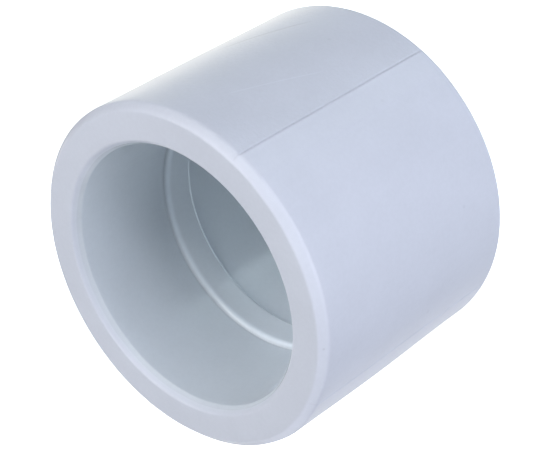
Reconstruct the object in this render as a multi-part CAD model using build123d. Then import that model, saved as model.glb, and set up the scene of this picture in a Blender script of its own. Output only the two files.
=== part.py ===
from build123d import *
import os

# Straight socket coupling for 63 mm polypropylene pressure pipe, injection moulded in one piece.
# Both ends are fusion sockets of the same depth. Between them a narrow ring stands in from the
# wall and stops the pipe ends. The frame has its origin at the centre of the lower end face, with
# +Z along the bore, out of the upper mouth. Lengths are in millimetres and angles in degrees.

# Driving dimensions
OUTER_DIAMETER = 82.0
LENGTH = 64.0
SOCKET_DIAMETER = 62.0      # mean of a socket that the mould tapers by a few tenths
SOCKET_DEPTH = 28.0         # from the end face to the pipe stop
STOP_UPPER_DIAMETER = 59.2  # the passage through the pipe stop narrows downward, as one core
STOP_LOWER_DIAMETER = 58.0  # forms all of it
LEAD_IN_WIDTH = 1.6         # cone at each mouth that guides the pipe in, measured on the radius
LEAD_IN_DEPTH = 2.0
OUTER_CHAMFER = 1.7         # 45 degree chamfer round each end of the outside
FACE_ROUND = 0.9            # where the outer chamfer meets the end face
BARREL_ROUND = 2.2          # where the outer chamfer meets the barrel
LEAD_IN_ROUND = 0.7         # both edges of the lead-in cone
STOP_ROUND = 1.0            # both edges of the pipe stop's passage
ROOT_ROUND = 0.3            # corner between a socket's wall and the pipe stop

# Each segment of the mould leaves one fine groove down the outside, parallel to the axis. The
# segments aren't equal, and opposite grooves match.
PARTING_AZIMUTHS = (-1.4, 86.1, 178.6, 266.1)
GROOVE_WIDTH = 0.8
GROOVE_DEPTH = 0.3
CUTTER_OVERHANG = 1.0       # how far a cutter stands clear of the surface that it cuts

OUTER_RADIUS = OUTER_DIAMETER / 2
SOCKET_RADIUS = SOCKET_DIAMETER / 2
MOUTH_RADIUS = SOCKET_RADIUS + LEAD_IN_WIDTH
FACE_RADIUS = OUTER_RADIUS - OUTER_CHAMFER
STOP_CORNERS = [
    (STOP_UPPER_DIAMETER / 2, SOCKET_DEPTH),
    (STOP_LOWER_DIAMETER / 2, SOCKET_DEPTH),
]
SOCKET_CORNERS = [
    (SOCKET_RADIUS, SOCKET_DEPTH),
    (SOCKET_RADIUS, LEAD_IN_DEPTH),
    (MOUTH_RADIUS, 0),
    (FACE_RADIUS, 0),
    (OUTER_RADIUS, OUTER_CHAMFER),
]
SOCKET_ROUNDS = [ROOT_ROUND, LEAD_IN_ROUND, LEAD_IN_ROUND, FACE_ROUND, BARREL_ROUND]


def lies_at(vertex, radius, from_end):
    """Whether a vertex of the section has this radius and this distance from either end."""
    nearer_end = min(vertex.Z, LENGTH - vertex.Z)
    return abs(vertex.X - radius) < 0.01 and abs(nearer_end - from_end) < 0.01


def wall_section():
    """The wall's section in the XZ plane, with its corners rounded. Both sockets are the same."""
    stop_upper, stop_lower = STOP_CORNERS
    lower = [stop_lower] + SOCKET_CORNERS
    upper = [(radius, LENGTH - depth) for radius, depth in [stop_upper] + SOCKET_CORNERS]
    outline = [(radius, 0, height) for radius, height in lower + upper[::-1]]
    section = make_face(Polyline(*outline, close=True))
    corners = STOP_CORNERS + SOCKET_CORNERS
    for corner, soft in zip(corners, [STOP_ROUND, STOP_ROUND] + SOCKET_ROUNDS):
        sharp = [vertex for vertex in section.vertices() if lies_at(vertex, *corner)]
        section = fillet(sharp, soft)
    return section


def parting_groove(azimuth):
    """A long V-shaped cutter that leaves one parting line's groove in the outside."""
    lip = OUTER_RADIUS + CUTTER_OVERHANG
    half_width = GROOVE_WIDTH / 2 * (GROOVE_DEPTH + CUTTER_OVERHANG) / GROOVE_DEPTH
    tip = (OUTER_RADIUS - GROOVE_DEPTH, 0)
    triangle = make_face(Polyline(tip, (lip, half_width), (lip, -half_width), close=True))
    cutter = extrude(triangle, LENGTH + 2 * CUTTER_OVERHANG)
    return Rot(0, 0, azimuth) * Pos(0, 0, -CUTTER_OVERHANG) * cutter


def coupling_body():
    """The whole moulding: two sockets, the pipe stop between them and the parting lines outside."""
    body = revolve(wall_section(), Axis.Z)
    for azimuth in PARTING_AZIMUTHS:
        body = body - parting_groove(azimuth)
    return body


os.makedirs("parts", exist_ok=True)
export_step(coupling_body(), "parts/coupling_body.step")
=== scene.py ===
"""The looks of a straight socket coupling moulded in white polypropylene.

The CAD node gives the size. One finer mesh stands for it, with the soft edges, the parting lines,
the socket taper and the slight unevenness of a real moulding. Lengths are in metres unless a name
ends in _MM, angles in degrees. An azimuth is measured from +X toward +Y.
"""

import bpy
import math
from mathutils import Matrix, Vector

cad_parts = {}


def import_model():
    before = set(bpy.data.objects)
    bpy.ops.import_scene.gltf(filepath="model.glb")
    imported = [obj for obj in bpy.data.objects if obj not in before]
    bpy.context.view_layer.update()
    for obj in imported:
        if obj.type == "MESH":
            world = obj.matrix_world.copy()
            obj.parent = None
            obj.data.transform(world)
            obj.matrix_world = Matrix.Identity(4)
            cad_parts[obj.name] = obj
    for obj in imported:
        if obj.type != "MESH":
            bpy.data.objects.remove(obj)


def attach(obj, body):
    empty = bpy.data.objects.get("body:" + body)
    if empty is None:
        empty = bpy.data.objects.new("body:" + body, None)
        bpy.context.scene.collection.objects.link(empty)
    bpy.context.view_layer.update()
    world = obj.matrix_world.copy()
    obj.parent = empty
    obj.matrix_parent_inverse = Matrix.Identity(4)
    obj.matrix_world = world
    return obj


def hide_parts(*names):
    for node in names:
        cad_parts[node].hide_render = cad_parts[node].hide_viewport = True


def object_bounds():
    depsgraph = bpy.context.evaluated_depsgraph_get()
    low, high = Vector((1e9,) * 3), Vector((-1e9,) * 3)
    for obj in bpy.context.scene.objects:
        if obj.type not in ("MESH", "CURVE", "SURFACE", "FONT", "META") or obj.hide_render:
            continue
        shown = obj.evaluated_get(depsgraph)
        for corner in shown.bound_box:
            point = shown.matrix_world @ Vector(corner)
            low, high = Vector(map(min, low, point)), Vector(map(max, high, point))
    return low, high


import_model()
cad_low, cad_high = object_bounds()

MM = 0.001

# The moulding, from the frame where the frame gives it
NODE = "coupling_body"
OUTER_RADIUS = (cad_high.x - cad_low.x) / 2
LENGTH = cad_high.z - cad_low.z
SOCKET_MOUTH_RADIUS = 31.12 * MM
SOCKET_ROOT_RADIUS = 30.8 * MM
SOCKET_DEPTH = 28.0 * MM
STOP_RADIUS = 29.6 * MM
STOP_FAR_RADIUS = 29.0 * MM
LEAD_IN_RADIUS = 32.6 * MM
LEAD_IN_DEPTH = 2.0 * MM
OUTER_CHAMFER = 1.7 * MM

# The faces of the pipe stop lean by this much toward its middle
STOP_SLOPE = 0.2 * MM

# The outside's small features start beyond this radius, on the flat end face
FEATURES_FROM = LEAD_IN_RADIUS + OUTER_CHAMFER

# How softly the section's corners are rounded
CHAMFER_ROUND = 0.9 * MM
BARREL_ROUND = 1.5 * MM
LEAD_IN_ROUND = 0.9 * MM
STOP_ROUND = 1.25 * MM
ROOT_ROUND = 0.12 * MM

# Parting lines run the length of the outside, parallel to the axis
PARTING_AZIMUTHS = (-1.4, 86.1, 178.6, 266.1)
GROOVE_WIDTH = 0.85 * MM
GROOVE_DEPTH = 0.2 * MM

# A faintly raised flat lies beside one parting line
FLAT_START = 76.4
FLAT_END = PARTING_AZIMUTHS[1]
FLAT_RISE = 0.08 * MM
FLAT_EDGE = 0.5

# Beside the other line the wall stands out a little along its length, most above the middle
SWELL_AZIMUTH = -18.0
SWELL_SPREAD = 9.0
SWELL_RISE = 0.26 * MM
SWELL_WAVE = 0.12 * MM
SWELL_WAVE_START = 0.3

# Slow waves of the outside, as a moulding has after it has shrunk: height, waves and phase round
# it, half waves and phase along it
WAVES = [
    (0.05 * MM, 3, 1.1, 1, 0.0),
    (0.04 * MM, 5, -0.7, 2, 0.4),
    (0.03 * MM, 8, 2.0, 3, 0.0),
]

# The plastic. Polished cores form the bore. The segment of the mould past the main parting line
# is a little rougher and grainier than its neighbour, and its colour is a little darker. Marks
# that only the barrel has fade out at its edges.
POLYPROPYLENE = (0.675, 0.706, 0.795, 1)
# The bore's colour is tinted greener, a painted tint of the light reflected inside it
BORE_POLYPROPYLENE_WITH_PAINTED_TINT = (0.67, 0.718, 0.775, 1)
REFRACTIVE_INDEX = 1.49
BORE_ROUGHNESS = (0.16, 0.20)
OUTSIDE_ROUGHER = 0.22
PAST_LINE_ROUGHER = 0.04
PAST_LINE_SHADE = 0.96
BARREL_EDGE = 0.6 * MM

# Two of the parting grooves are painted darker, painted shade in the grooves
SHADED_GROOVE_AZIMUTHS = PARTING_AZIMUTHS[:2]
GROOVE_SHADE = 0.95

# How wide the lumps of each pattern are
CLOUD_SIZE = 14 * MM
MOTTLE_SIZE = 0.9 * MM
STREAK_SIZE = 1.6 * MM
PEEL_SIZE = 3.0 * MM
GRAIN_SIZE = 0.7 * MM
RING_SIZE = 0.5 * MM

# The middle stretch of a noise, and how dark and light each pattern makes the plastic there
WIDE_MIDDLE = (0.2, 0.8)
NARROW_MIDDLE = (0.25, 0.75)
CLOUD_SHADES = (0.975, 1.02)
MOTTLE_SHADES = (0.99, 1.01)
STREAK_SHADES = (0.997, 1.003)

# Patterns drawn out along the axis, or round it
ALONG = (1, 1, 0.04)
AROUND = (0.03, 0.03, 1)

# How deep each pattern stands in the surface, and the share of the grain away from the side past
# the main parting line
PEEL_DEPTH = 0.012 * MM
GRAIN_DEPTH = 0.1 * MM
STREAK_DEPTH = 0.003 * MM
RING_DEPTH = 0.003 * MM
PLAIN_GRAIN_SHARE = 0.04

# Rings round the bore: radius, height, reach and shade. The crest of the pipe stop on the upper
# side is painted lighter, a painted highlight, and its two roots are painted darker, painted shade
# in the corners.
PAINTED_STOP_LIGHT_AND_SHADE = [
    (29.6 * MM, 35.6 * MM, 1.25 * MM, 1.26),
    (30.8 * MM, 36.0 * MM, 0.8 * MM, 0.93),
    (30.8 * MM, 28.0 * MM, 0.8 * MM, 0.93),
]

# Faint flow marks that lean across the barrel: middle azimuth and height, degrees turned for
# each millimetre of height, half of the length, reach to each side, how light or dark they are,
# and how deep
FLOW_MARKS = [
    (101.7, 38.7 * MM, 0.467, 14 * MM, 0.35 * MM, 1.06, 0.0),
    (127.0, 21.5 * MM, 0.76, 12 * MM, 0.9 * MM, 0.9, 0.06 * MM),
]

# Inclusions: azimuth, radius, height, reach and how dark
SPECKS = [
    (21.4, OUTER_RADIUS - OUTER_CHAMFER / 2, LENGTH - OUTER_CHAMFER / 2, 0.5 * MM, 0.12),
    (7.0, OUTER_RADIUS, 26.7 * MM, 0.8 * MM, 0.06),
    (36.8, OUTER_RADIUS, 14.4 * MM, 0.8 * MM, 0.06),
    (78.2, OUTER_RADIUS, 22.0 * MM, 0.7 * MM, 0.05),
    (106.6, OUTER_RADIUS, 16.6 * MM, 0.7 * MM, 0.06),
]

# How fine the mesh is. Columns stand closer together within this many degrees of a line.
PLAIN_COLUMNS = 360
FINE_REACH = 1.2
FINE_STEP = 0.15
WALL_STEP = 1.5 * MM
ROUND_STEPS = 6


# --- The section of the wall ---------------------------------------------------------------

def rounded_corner(before, corner, after, radius):
    """Points along the arc that rounds one corner of the section."""
    to_before = (before - corner).normalized()
    to_after = (after - corner).normalized()
    half_angle = to_before.angle(to_after) / 2
    centre = corner + (to_before + to_after).normalized() * radius / math.sin(half_angle)
    start = corner + to_before * radius / math.tan(half_angle) - centre
    end = corner + to_after * radius / math.tan(half_angle) - centre
    points = []
    for step in range(ROUND_STEPS + 1):
        share = step / ROUND_STEPS
        points.append(centre + start.slerp(end, share).normalized() * radius)
    return points


def straight_run(start, end):
    """Points between two ends of a straight stretch, no further apart than WALL_STEP."""
    pieces = max(1, math.ceil((end - start).length / WALL_STEP))
    return [start.lerp(end, step / pieces) for step in range(1, pieces)]


def wall_section():
    """The closed outline of the wall as (radius, height) points, with every corner rounded."""
    lower = [
        ((STOP_RADIUS, SOCKET_DEPTH + STOP_SLOPE), STOP_ROUND),
        ((SOCKET_ROOT_RADIUS, SOCKET_DEPTH), ROOT_ROUND),
        ((SOCKET_MOUTH_RADIUS, LEAD_IN_DEPTH), LEAD_IN_ROUND),
        ((LEAD_IN_RADIUS, 0.0), LEAD_IN_ROUND),
        ((OUTER_RADIUS - OUTER_CHAMFER, 0.0), CHAMFER_ROUND),
        ((OUTER_RADIUS, OUTER_CHAMFER), BARREL_ROUND),
    ]
    upper = [((radius, LENGTH - height), soft) for (radius, height), soft in reversed(lower)]
    lower[0] = ((STOP_FAR_RADIUS, SOCKET_DEPTH + STOP_SLOPE), STOP_ROUND)
    corners = [(Vector(place), soft) for place, soft in lower + upper]
    arcs = []
    for index, (corner, soft) in enumerate(corners):
        before = corners[index - 1][0]
        after = corners[(index + 1) % len(corners)][0]
        arcs.append(rounded_corner(before, corner, after, soft))
    outline = []
    for index, arc in enumerate(arcs):
        next_arc = arcs[(index + 1) % len(arcs)]
        outline += arc + straight_run(arc[-1], next_arc[0])
    return outline


# --- The outside's small features ----------------------------------------------------------

def apart(first, second):
    """The angle between two azimuths, 0 to 180."""
    return abs((first - second + 180) % 360 - 180)


def column_azimuths():
    """Azimuths of the mesh's columns, closer together near each line."""
    lines = PARTING_AZIMUTHS + (FLAT_START,)
    plain = [360 * index / PLAIN_COLUMNS for index in range(PLAIN_COLUMNS)]
    kept = [a for a in plain if all(apart(a, line) > FINE_REACH + FINE_STEP for line in lines)]
    steps = round(FINE_REACH / FINE_STEP)
    for line in lines:
        kept += [(line + FINE_STEP * step) % 360 for step in range(-steps, steps + 1)]
    return sorted(kept)


def eased(share):
    """0 to 1 with soft ends."""
    share = min(1.0, max(0.0, share))
    return share * share * (3 - 2 * share)


def groove_cut(azimuth):
    """How deep the nearest parting line's groove is here."""
    across = min(math.radians(apart(azimuth, line)) for line in PARTING_AZIMUTHS) * OUTER_RADIUS
    return GROOVE_DEPTH * (1 - eased(across / (GROOVE_WIDTH / 2)))


def raised_flat(azimuth):
    """How far the flat beside the parting line stands out."""
    if not FLAT_START - FLAT_EDGE < azimuth <= FLAT_END:
        return 0.0
    return FLAT_RISE * eased((azimuth - FLAT_START + FLAT_EDGE) / (2 * FLAT_EDGE))


def swell(azimuth, height):
    """One shallow swell along the wall, which waves a little from end to end."""
    spread = math.exp(-(apart(azimuth, SWELL_AZIMUTH) / SWELL_SPREAD) ** 2)
    wave = math.sin(2 * math.pi * (height / LENGTH - SWELL_WAVE_START))
    return spread * (SWELL_RISE + SWELL_WAVE * wave)


def unevenness(azimuth, height):
    """The sum of the outside's slow waves here."""
    turn = math.radians(azimuth)
    rise = math.pi * height / LENGTH
    total = 0.0
    for wave, round_it, round_phase, along_it, along_phase in WAVES:
        across = math.sin(round_it * turn + round_phase)
        total += wave * across * math.sin(along_it * rise + along_phase)
    return total


def outside_radius(radius, azimuth, height):
    """The radius of a point on the outside or its chamfers, with the small features."""
    share = (radius - LEAD_IN_RADIUS) / (OUTER_RADIUS - LEAD_IN_RADIUS)
    proud = raised_flat(azimuth) + swell(azimuth, height) + unevenness(azimuth, height)
    return min(radius, OUTER_RADIUS - groove_cut(azimuth)) + share * proud


def moulding_mesh(name):
    """The whole moulding as one closed mesh."""
    section = wall_section()
    azimuths = column_azimuths()
    vertices = []
    for azimuth in azimuths:
        turn = math.radians(azimuth)
        for radius, height in section:
            if radius > FEATURES_FROM:
                radius = outside_radius(radius, azimuth, height)
            vertices.append((radius * math.cos(turn), radius * math.sin(turn), height))
    rows = len(section)
    faces = []
    for column in range(len(azimuths)):
        here = column * rows
        there = (column + 1) % len(azimuths) * rows
        for row in range(rows):
            up = (row + 1) % rows
            faces.append((here + row, here + up, there + up, there + row))
    mesh = bpy.data.meshes.new(name)
    mesh.from_pydata(vertices, [], faces)
    mesh.validate()
    mesh.polygons.foreach_set("use_smooth", [True] * len(mesh.polygons))
    mesh.update()
    return mesh


# --- Materials -----------------------------------------------------------------------------

def new_material(name):
    """A material with its node tree and its shader."""
    material = bpy.data.materials.new(name)
    material.use_nodes = True
    return material, material.node_tree, material.node_tree.nodes["Principled BSDF"]


def feed(tree, socket, value):
    """Set a socket to a value, or link it where the value is another node's output."""
    if isinstance(value, bpy.types.NodeSocket):
        tree.links.new(value, socket)
    else:
        socket.default_value = value


def calc(tree, operation, *values):
    """A Math node's result."""
    node = tree.nodes.new("ShaderNodeMath")
    node.operation = operation
    for socket, value in zip(node.inputs, values):
        feed(tree, socket, value)
    return node.outputs["Value"]


def ramp(tree, value, low, high, out_low, out_high):
    """A value mapped softly from one range to another."""
    node = tree.nodes.new("ShaderNodeMapRange")
    node.interpolation_type = "SMOOTHSTEP"
    names = ("Value", "From Min", "From Max", "To Min", "To Max")
    for name, setting in zip(names, (value, low, high, out_low, out_high)):
        feed(tree, node.inputs[name], setting)
    return node.outputs["Result"]


def noise(tree, place, size, stretch=(1, 1, 1), detail=2.0):
    """Noise between 0 and 1 whose lumps are about this size, drawn out where stretch is small."""
    scaled = tree.nodes.new("ShaderNodeMapping")
    scaled.inputs["Scale"].default_value = stretch
    tree.links.new(place, scaled.inputs["Vector"])
    node = tree.nodes.new("ShaderNodeTexNoise")
    node.inputs["Scale"].default_value = 1 / size
    node.inputs["Detail"].default_value = detail
    tree.links.new(scaled.outputs["Vector"], node.inputs["Vector"])
    return node.outputs["Fac"]


def bump(tree, height, distance, below=None):
    """A bump of this many metres from black to white, on top of the one below."""
    node = tree.nodes.new("ShaderNodeBump")
    node.inputs["Distance"].default_value = distance
    tree.links.new(height, node.inputs["Height"])
    if below is not None:
        tree.links.new(below, node.inputs["Normal"])
    return node.outputs["Normal"]


def speck(tree, place, azimuth, radius, height, reach):
    """1 in the middle of one small dark inclusion, 0 past its reach."""
    turn = math.radians(azimuth)
    middle = (radius * math.cos(turn), radius * math.sin(turn), height)
    away = tree.nodes.new("ShaderNodeVectorMath")
    away.operation = "DISTANCE"
    tree.links.new(place, away.inputs[0])
    away.inputs[1].default_value = middle
    return ramp(tree, away.outputs["Value"], 0.0, reach, 1.0, 0.0)


def multiply(tree, *values):
    """The product of two or more values."""
    product = values[0]
    for value in values[1:]:
        product = calc(tree, "MULTIPLY", product, value)
    return product


def fade(tree, value, shade):
    """1 where a value is 0, and this shade where it is 1."""
    return ramp(tree, value, 0.0, 1.0, 1.0, shade)


def distance(tree, first, second):
    """The length of the vector that has these two parts."""
    squares = calc(tree, "MULTIPLY_ADD", first, first, multiply(tree, second, second))
    return calc(tree, "SQRT", squares)


def across_line(tree, x, y, azimuth):
    """How far a point lies past the plane through the axis at this azimuth, anticlockwise."""
    turn = math.radians(azimuth)
    ahead = multiply(tree, y, math.cos(turn))
    return calc(tree, "SUBTRACT", ahead, multiply(tree, x, math.sin(turn)))


def flow_mark(tree, bearing, z, azimuth, height, lean, half_length, reach):
    """1 along the middle of one flow mark, 0 beside it and past its ends."""
    along = calc(tree, "SUBTRACT", z, height)
    line = calc(tree, "MULTIPLY_ADD", along, math.radians(lean) / MM, math.radians(azimuth))
    beside = calc(tree, "ABSOLUTE", calc(tree, "SUBTRACT", bearing, line))
    middle = ramp(tree, beside, 0.0, reach / OUTER_RADIUS, 1.0, 0.0)
    ends = ramp(tree, calc(tree, "ABSOLUTE", along), half_length / 2, half_length, 1.0, 0.0)
    return multiply(tree, middle, ends)


def shaded_plastic(tree, outside, shade):
    """The plastic's colour outside, or its greener painted tint in the bore, scaled by a shade."""
    plastic = tree.nodes.new("ShaderNodeMixRGB")
    plastic.inputs["Color1"].default_value = BORE_POLYPROPYLENE_WITH_PAINTED_TINT
    plastic.inputs["Color2"].default_value = POLYPROPYLENE
    tree.links.new(outside, plastic.inputs["Fac"])
    scaled = tree.nodes.new("ShaderNodeVectorMath")
    scaled.operation = "SCALE"
    tree.links.new(plastic.outputs["Color"], scaled.inputs[0])
    tree.links.new(shade, scaled.inputs["Scale"])
    return scaled.outputs["Vector"]


def moulded_polypropylene():
    """Natural white moulding: cloudy colour, orange peel, grain, flow streaks and inclusions."""
    material, tree, shader = new_material("white_polypropylene")
    place = tree.nodes.new("ShaderNodeTexCoord").outputs["Object"]
    split = tree.nodes.new("ShaderNodeSeparateXYZ")
    tree.links.new(place, split.inputs["Vector"])
    x, y, z = split.outputs
    radius = distance(tree, y, x)
    bearing = calc(tree, "ARCTAN2", y, x)

    # Where each part of the moulding is: 1 on it and 0 away from it
    outside = ramp(tree, radius, SOCKET_MOUTH_RADIUS, LEAD_IN_RADIUS, 0.0, 1.0)
    inside = calc(tree, "SUBTRACT", 1.0, outside)
    barrel = ramp(tree, radius, OUTER_RADIUS - OUTER_CHAMFER, OUTER_RADIUS - BARREL_EDGE, 0.0, 1.0)
    past_line = calc(tree, "GREATER_THAN", across_line(tree, x, y, PARTING_AZIMUTHS[1]), 0.0)
    past_line_barrel = multiply(tree, past_line, barrel)

    cloud = noise(tree, place, CLOUD_SIZE, detail=3.0)
    mottle = noise(tree, place, MOTTLE_SIZE, detail=2.0)
    streak = noise(tree, place, STREAK_SIZE, stretch=ALONG)
    peel = noise(tree, place, PEEL_SIZE, detail=1.0)
    grain = noise(tree, place, GRAIN_SIZE, detail=3.0)
    rings = noise(tree, place, RING_SIZE, stretch=AROUND)

    shades = [
        ramp(tree, cloud, *WIDE_MIDDLE, *CLOUD_SHADES),
        ramp(tree, mottle, *NARROW_MIDDLE, *MOTTLE_SHADES),
        ramp(tree, streak, *NARROW_MIDDLE, *STREAK_SHADES),
        # Darker past the main parting line
        fade(tree, past_line_barrel, PAST_LINE_SHADE),
    ]
    # Painted shade along two parting grooves
    for azimuth in SHADED_GROOVE_AZIMUTHS:
        beside = calc(tree, "ABSOLUTE", across_line(tree, x, y, azimuth))
        painted_groove_shade = multiply(tree, ramp(tree, beside, 0.0, GROOVE_WIDTH / 2, 1.0, 0.0), barrel)
        shades.append(fade(tree, painted_groove_shade, GROOVE_SHADE))
    # Painted highlight on the pipe stop's crest and painted shade at its two roots
    for ring_radius, height, reach, ring_shade in PAINTED_STOP_LIGHT_AND_SHADE:
        out = calc(tree, "SUBTRACT", radius, ring_radius)
        away = distance(tree, out, calc(tree, "SUBTRACT", z, height))
        shades.append(ramp(tree, away, 0.0, reach, ring_shade, 1.0))
    surface = bump(tree, peel, PEEL_DEPTH)
    for *place_and_lean, mark_shade, depth in FLOW_MARKS:
        mark = multiply(tree, flow_mark(tree, bearing, z, *place_and_lean), barrel)
        shades.append(fade(tree, mark, mark_shade))
        if depth > 0:
            surface = bump(tree, calc(tree, "SUBTRACT", 1.0, mark), depth, surface)
    for azimuth, speck_radius, height, reach, dark in SPECKS:
        spot = speck(tree, place, azimuth, speck_radius, height, reach)
        shades.append(fade(tree, spot, 1 - dark))

    colour = shaded_plastic(tree, outside, multiply(tree, *shades))
    tree.links.new(colour, shader.inputs["Base Color"])

    rough = ramp(tree, cloud, *WIDE_MIDDLE, *BORE_ROUGHNESS)
    rough = calc(tree, "ADD", rough, ramp(tree, outside, 0.0, 1.0, 0.0, OUTSIDE_ROUGHER))
    rough = calc(tree, "ADD", rough, ramp(tree, past_line_barrel, 0.0, 1.0, 0.0, PAST_LINE_ROUGHER))
    tree.links.new(rough, shader.inputs["Roughness"])

    grain_share = ramp(tree, past_line_barrel, 0.0, 1.0, PLAIN_GRAIN_SHARE, 1.0)
    surface = bump(tree, multiply(tree, grain, grain_share), GRAIN_DEPTH, surface)
    surface = bump(tree, multiply(tree, streak, outside), STREAK_DEPTH, surface)
    surface = bump(tree, multiply(tree, rings, inside), RING_DEPTH, surface)
    tree.links.new(surface, shader.inputs["Normal"])

    shader.inputs["IOR"].default_value = REFRACTIVE_INDEX
    return material


# --- Stage, lights and camera --------------------------------------------------------------

# The floor lies a hair below the coupling's foot
FLOOR_REACH = 20.0
FLOOR_HEIGHT = -0.02 * MM

# Glossy plastic mirrors all that stands round it, so many softboxes stand in for a studio
PANEL_DISTANCE = 1.5
WATTS_PER_AREA = 4.0
PLAIN = (1.0, 1.0, 1.0)
COOL = (0.89, 0.91, 1.0)
SKY = (0.79, 0.94, 1.0)
WARM = (1.0, 0.98, 0.88)

# Name, azimuth, elevation, degrees wide and tall, strength and tint
PANELS = [
    ("key_right", 36, 0, 84, 28, 2.65, COOL),
    ("above_left", 141, 52, 60, 26, 2.5, PLAIN),
    ("above_back", 141, 28, 40, 24, 0.6, COOL),
    ("overhead", 0, 90, 46, 46, 0.2, PLAIN),
    ("front_low", 230, 52, 40, 26, 0.3, COOL),
    ("front_right", 313, 28, 38, 24, 0.85, PLAIN),
    ("left_low", 246, 0, 56, 28, 1.75, PLAIN),
    ("low_side", 291, 0, 28, 28, 2.1, COOL),
    ("back_window", 103.5, -40, 28, 34, 0.9, SKY),
    ("back_upper", 142, -40, 30, 34, 0.5, COOL),
    ("back_high", 175, -40, 25, 34, 0.65, SKY),
    ("back_left", 207, -40, 25, 34, 2.5, WARM),
    ("back_low", 278, -40, 30, 34, 1.0, PLAIN),
    ("behind_right", 321, -70, 36, 36, 1.25, SKY),
    ("behind_upper", 100, -76, 36, 20, 0.3, SKY),
    ("side_left", 186, -7, 28, 28, 0.3, SKY),
    ("right_up_low", 8, 19, 44, 10, 1.2, COOL),
    ("right_up_back", 62, 19, 44, 10, 3.25, COOL),
    ("back_edge", 93, -40, 12, 34, 0.65, SKY),
    ("nadir", 0, -90, 24, 24, 1.2, SKY),
    ("right_top", 36, 62, 40, 20, 0.75, SKY),
    ("left_top", 180, 70, 40, 16, 2.7, PLAIN),
]

# The main view. Azimuth 0 looks along +Y, and the camera is rolled far round its own axis.
VIEW_AZIMUTH = 154.75
VIEW_ELEVATION = 39.89
VIEW_ROLL = -121.91
VIEW_DISTANCE = 417.7 * MM
VIEW_AIM = Vector((0.72, -0.50, 32.17)) * MM
LENS_MM = 120.77


def floor():
    """A white floor that only the camera sees, so light from below still reaches the bore."""
    mesh = bpy.data.meshes.new("floor")
    corners = [(-1, -1), (1, -1), (1, 1), (-1, 1)]
    places = [(FLOOR_REACH * x, FLOOR_REACH * y, FLOOR_HEIGHT) for x, y in corners]
    mesh.from_pydata(places, [], [(0, 1, 2, 3)])
    plane = bpy.data.objects.new("floor", mesh)
    bpy.context.scene.collection.objects.link(plane)
    material, _, shader = new_material("floor_white")
    shader.inputs["Base Color"].default_value = (0.9, 0.9, 0.9, 1)
    shader.inputs["Roughness"].default_value = 0.9
    shader.inputs["Emission Color"].default_value = (1, 1, 1, 1)
    shader.inputs["Emission Strength"].default_value = 1.0
    plane.data.materials.append(material)
    plane.visible_diffuse = False
    plane.visible_glossy = False
    plane.visible_shadow = False


def direction(azimuth, elevation):
    """The unit vector that points this way from the coupling."""
    turn = math.radians(azimuth)
    rise = math.radians(elevation)
    return Vector((
        math.cos(turn) * math.cos(rise),
        math.sin(turn) * math.cos(rise),
        math.sin(rise),
    ))


def panel(name, azimuth, elevation, wide, tall, strength, tint):
    """A softbox that faces the coupling and looks this many degrees wide and tall from there."""
    data = bpy.data.lights.new(name, "AREA")
    data.shape = "RECTANGLE"
    data.size = 2 * PANEL_DISTANCE * math.tan(math.radians(wide) / 2)
    data.size_y = 2 * PANEL_DISTANCE * math.tan(math.radians(tall) / 2)
    data.color = tint
    data.energy = strength * WATTS_PER_AREA * data.size * data.size_y
    light = bpy.data.objects.new(name, data)
    bpy.context.scene.collection.objects.link(light)
    away = direction(azimuth, elevation)
    light.location = Vector((0, 0, LENGTH / 2)) + away * PANEL_DISTANCE
    light.rotation_euler = away.to_track_quat("Z", "Y").to_euler()
    light.visible_camera = False


def camera():
    """The camera of the main view."""
    data = bpy.data.cameras.new("camera")
    data.lens = LENS_MM
    data.sensor_width = 36.0
    data.clip_start = 0.01
    data.clip_end = 100.0
    seen_from = bpy.data.objects.new("camera", data)
    bpy.context.scene.collection.objects.link(seen_from)
    azimuth = math.radians(VIEW_AZIMUTH)
    elevation = math.radians(VIEW_ELEVATION)
    back = Vector((
        math.sin(azimuth) * math.cos(elevation),
        -math.cos(azimuth) * math.cos(elevation),
        math.sin(elevation),
    ))
    upright = back.to_track_quat("Z", "Y").to_matrix().to_4x4()
    roll = Matrix.Rotation(math.radians(VIEW_ROLL), 4, "Z")
    seen_from.matrix_world = Matrix.Translation(VIEW_AIM + back * VIEW_DISTANCE) @ upright @ roll
    bpy.context.scene.camera = seen_from


def world():
    """A white surround that only the camera sees. The softboxes alone light the coupling."""
    sky = bpy.data.worlds.new("studio")
    bpy.context.scene.world = sky
    sky.use_nodes = True
    tree = sky.node_tree
    path = tree.nodes.new("ShaderNodeLightPath")
    tree.links.new(path.outputs["Is Camera Ray"], tree.nodes["Background"].inputs["Strength"])
    tree.nodes["Background"].inputs["Color"].default_value = (1, 1, 1, 1)
    bpy.context.scene.view_settings.view_transform = "Standard"


# --- The scene -----------------------------------------------------------------------------

moulding = bpy.data.objects.new("coupling_moulding", moulding_mesh("coupling_moulding"))
bpy.context.scene.collection.objects.link(moulding)
moulding.data.materials.append(moulded_polypropylene())
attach(moulding, "root")
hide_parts(NODE)
floor()
camera()
for softbox in PANELS:
    panel(*softbox)
world()
